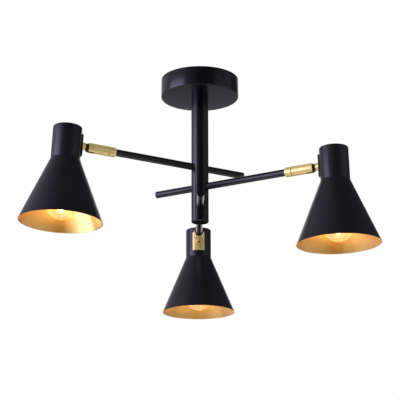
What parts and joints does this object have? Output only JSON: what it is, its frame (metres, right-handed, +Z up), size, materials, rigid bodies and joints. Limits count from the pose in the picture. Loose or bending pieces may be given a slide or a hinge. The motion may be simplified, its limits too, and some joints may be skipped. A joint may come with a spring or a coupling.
{
  "type": "adjustable ceiling light",
  "caption": "Black ceiling light: thin arms pass through a straight stem, each ending in a brass swivel that turns and tilts a cone shade, gold inside.",
  "frame": {"origin": "centre of the face that meets the ceiling, on the stem's axis", "axes": "+Z up towards the ceiling, +X to the right and +Y away from the viewer of the picture; the light hangs below the origin"},
  "size_m": [0.4898, 0.4472, 0.3139],
  "materials": {
    "black_paint": "satin",
    "shade_paint": "satin",
    "brass": "satin",
    "zinc_steel": "satin",
    "dark_steel": "satin",
    "holder_plastic": "matte",
    "cap_metal": "satin",
    "bulb_glass": "polished",
    "bulb_filament": "gloss",
    "terminal_plastic": "matte"
  },
  "bodies": {
    "ceiling_body": {"mounting_bracket": "zinc_steel", "canopy_cup": "black_paint", "canopy_screws": "dark_steel", "stem_tube": "black_paint", "stem_nipple": "zinc_steel", "stem_washer": "zinc_steel", "stem_locknut": "zinc_steel", "stem_end_cap": "black_paint", "terminal_block": "terminal_plastic", "terminal_screw": "zinc_steel", "earth_screw": "brass", "arm_plugs": "black_paint", "collar_set_screws": "zinc_steel", "arm_tube_left": "black_paint", "swivel_collar_left": "brass", "arm_tube_right": "black_paint", "swivel_collar_right": "brass", "arm_tube_rear": "black_paint", "swivel_collar_rear": "brass"},
    "barrel_left": {"swivel_barrel_left": "brass", "swivel_stop_screw_left": "zinc_steel", "pivot_screws_left": "brass"},
    "head_left": {"swivel_tongue_left": "brass", "saddle_plate_left": "brass", "saddle_screws_left": "brass", "shade_left": "shade_paint", "holder_bracket_left": "zinc_steel", "holder_nipple_left": "zinc_steel", "lampholder_left": "holder_plastic", "bulb_cap_left": "cap_metal", "bulb_glass_left": "bulb_glass", "bulb_filament_left": "bulb_filament"},
    "barrel_right": {"swivel_barrel_right": "brass", "swivel_stop_screw_right": "zinc_steel", "pivot_screws_right": "brass"},
    "head_right": {"swivel_tongue_right": "brass", "saddle_plate_right": "brass", "saddle_screws_right": "brass", "shade_right": "shade_paint", "holder_bracket_right": "zinc_steel", "holder_nipple_right": "zinc_steel", "lampholder_right": "holder_plastic", "bulb_cap_right": "cap_metal", "bulb_glass_right": "bulb_glass", "bulb_filament_right": "bulb_filament"},
    "barrel_rear": {"swivel_barrel_rear": "brass", "swivel_stop_screw_rear": "zinc_steel", "pivot_screws_rear": "brass"},
    "head_rear": {"swivel_tongue_rear": "brass", "saddle_plate_rear": "brass", "saddle_screws_rear": "brass", "shade_rear": "shade_paint", "holder_bracket_rear": "zinc_steel", "holder_nipple_rear": "zinc_steel", "lampholder_rear": "holder_plastic", "bulb_cap_rear": "cap_metal", "bulb_glass_rear": "bulb_glass", "bulb_filament_rear": "bulb_filament"}
  },
  "joints": [
    {"name": "turn_left", "type": "hinge", "parent": "ceiling_body", "child": "barrel_left", "pos_m": [-0.15316, -0.09608, -0.1375], "axis": [-0.8471, -0.5314, 0], "range_deg": [-140, 140]},
    {"name": "tilt_left", "type": "hinge", "parent": "barrel_left", "child": "head_left", "pos_m": [-0.15316, -0.09608, -0.1375], "axis": [-0.5314, 0.8471, 0], "range_deg": [-72.9, 87.1]},
    {"name": "turn_right", "type": "hinge", "parent": "ceiling_body", "child": "barrel_right", "pos_m": [0.15399, -0.09474, -0.1672], "axis": [0.8517, -0.524, 0], "range_deg": [-140, 140]},
    {"name": "tilt_right", "type": "hinge", "parent": "barrel_right", "child": "head_right", "pos_m": [0.15399, -0.09474, -0.1672], "axis": [-0.524, -0.8517, 0], "range_deg": [-71.4, 88.6]},
    {"name": "turn_rear", "type": "hinge", "parent": "ceiling_body", "child": "barrel_rear", "pos_m": [-0.00221, 0.18079, -0.1982], "axis": [-0.0122, 0.9999, 0], "range_deg": [-140, 140]},
    {"name": "tilt_rear", "type": "hinge", "parent": "barrel_rear", "child": "head_rear", "pos_m": [-0.00221, 0.18079, -0.1982], "axis": [0.9999, 0.0122, 0], "range_deg": [-68.9, 91.1]}
  ]
}
